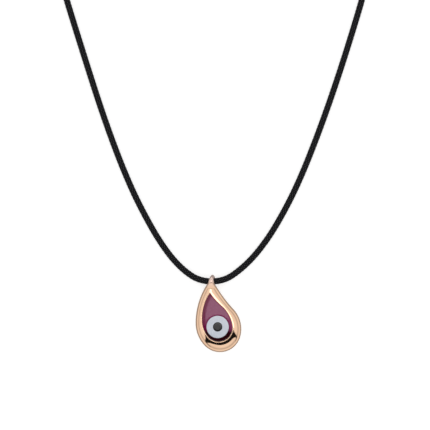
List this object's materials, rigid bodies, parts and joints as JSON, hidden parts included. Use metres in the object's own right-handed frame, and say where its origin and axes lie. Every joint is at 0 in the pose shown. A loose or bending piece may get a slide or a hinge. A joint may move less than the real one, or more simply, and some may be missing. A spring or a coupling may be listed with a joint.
{
  "type": "evil eye pendant necklace",
  "caption": "Drop-shaped evil-eye pendant, enamel in a polished metal rim, that swings on a round cord necklace with a lobster clasp and an extender chain.",
  "frame": {"origin": "middle of the drop pendant, on its flat back", "axes": "+X to the right of the pendant's face, +Y up the pendant to its bail, +Z out of the face"},
  "size_m": [0.1053, 0.1874, 0.0044],
  "materials": {
    "rose_gold": "polished rose-gold plating",
    "black_cord": "braided waxed cord",
    "purple_enamel": "glossy enamel",
    "white_enamel": "glossy enamel",
    "pupil_enamel": "glossy enamel",
    "spring_steel": "bare"
  },
  "bodies": {
    "cord": {"cord": "black_cord", "end_cap_clasp_side": "rose_gold", "end_cap_chain_side": "rose_gold"},
    "drop": {"drop_frame": "rose_gold", "bail_loop": "rose_gold", "purple_enamel": "purple_enamel", "white_enamel_disc": "white_enamel", "pupil": "pupil_enamel"},
    "clasp_ring": {"jump_ring_clasp_side": "rose_gold"},
    "clasp": {"clasp_body": "rose_gold", "clasp_rivet": "rose_gold", "clasp_spring": "spring_steel"},
    "lever": {"clasp_lever": "rose_gold"},
    "chain_ring": {"jump_ring_chain_side": "rose_gold"},
    "link_01": {"chain_link_01": "rose_gold"},
    "link_02": {"chain_link_02": "rose_gold"},
    "link_03": {"chain_link_03": "rose_gold"},
    "link_04": {"chain_link_04": "rose_gold"},
    "link_05": {"chain_link_05": "rose_gold"},
    "link_06": {"chain_link_06": "rose_gold"},
    "link_07": {"chain_link_07": "rose_gold"},
    "link_08": {"chain_link_08": "rose_gold"},
    "link_09": {"chain_link_09": "rose_gold"},
    "link_10": {"chain_link_10": "rose_gold"},
    "end_drop": {"end_drop": "rose_gold"}
  },
  "joints": [
    {"name": "drop_swing", "type": "hinge", "parent": "cord", "child": "drop", "pos_m": [-0.00195, 0.0107, 0.0022], "axis": [-1, 0, 0], "range_deg": [0, 170]},
    {"name": "clasp_ring_swing", "type": "hinge", "parent": "cord", "child": "clasp_ring", "pos_m": [-0.01819, 0.16927, 0.00135], "axis": [0.2979, -0.6413, -0.7071], "range_deg": [0, 40]},
    {"name": "clasp_swing", "type": "hinge", "parent": "clasp_ring", "child": "clasp", "pos_m": [-0.01607, 0.16988, 0.00135], "axis": [0.1949, -0.6797, 0.7071], "range_deg": [0, 22]},
    {"name": "lever_open", "type": "hinge", "parent": "clasp", "child": "lever", "pos_m": [-0.01283, 0.16986, 0.00135], "axis": [0, 0, 1], "range_deg": [0, 20], "stiffness_Nm_per_rad": 0.002, "springref_deg": -20.05},
    {"name": "chain_ring_swing", "type": "hinge", "parent": "cord", "child": "chain_ring", "pos_m": [0.014, 0.15751, 0.00135], "axis": [0.1426, 0.6926, -0.7071], "range_deg": [0, 40]},
    {"name": "link_01_swing", "type": "hinge", "parent": "chain_ring", "child": "link_01", "pos_m": [0.0118, 0.15759, 0.00135], "axis": [0.0247, 0.7067, 0.7071], "range_deg": [0, 30]},
    {"name": "link_02_swing", "type": "hinge", "parent": "link_01", "child": "link_02", "pos_m": [0.00799, 0.15706, 0.00135], "axis": [-0.0984, 0.7002, -0.7071], "range_deg": [0, 30]},
    {"name": "link_03_swing", "type": "hinge", "parent": "link_02", "child": "link_03", "pos_m": [0.00434, 0.15601, 0.00135], "axis": [-0.1949, 0.6797, 0.7071], "range_deg": [0, 30]},
    {"name": "link_04_swing", "type": "hinge", "parent": "link_03", "child": "link_04", "pos_m": [0.00087, 0.15446, 0.00135], "axis": [-0.2876, 0.646, -0.7071], "range_deg": [0, 30]},
    {"name": "link_05_swing", "type": "hinge", "parent": "link_04", "child": "link_05", "pos_m": [-0.00236, 0.15245, 0.00135], "axis": [-0.3747, 0.5997, 0.7071], "range_deg": [0, 30]},
    {"name": "link_06_swing", "type": "hinge", "parent": "link_05", "child": "link_06", "pos_m": [-0.00527, 0.15001, 0.00135], "axis": [-0.4545, 0.5417, -0.7071], "range_deg": [0, 30]},
    {"name": "link_07_swing", "type": "hinge", "parent": "link_06", "child": "link_07", "pos_m": [-0.00781, 0.14718, 0.00135], "axis": [-0.5255, 0.4731, 0.7071], "range_deg": [0, 30]},
    {"name": "link_08_swing", "type": "hinge", "parent": "link_07", "child": "link_08", "pos_m": [-0.00993, 0.14403, 0.00135], "axis": [-0.5862, 0.3954, -0.7071], "range_deg": [0, 30]},
    {"name": "link_09_swing", "type": "hinge", "parent": "link_08", "child": "link_09", "pos_m": [-0.0116, 0.14062, 0.00135], "axis": [-0.6355, 0.31, 0.7071], "range_deg": [0, 30]},
    {"name": "link_10_swing", "type": "hinge", "parent": "link_09", "child": "link_10", "pos_m": [-0.01277, 0.137, 0.00135], "axis": [-0.6725, 0.2185, -0.7071], "range_deg": [0, 30]},
    {"name": "end_drop_swing", "type": "hinge", "parent": "link_10", "child": "end_drop", "pos_m": [-0.01343, 0.13326, 0.00135], "axis": [-0.6964, 0.1228, 0.7071], "range_deg": [0, 40]}
  ]
}
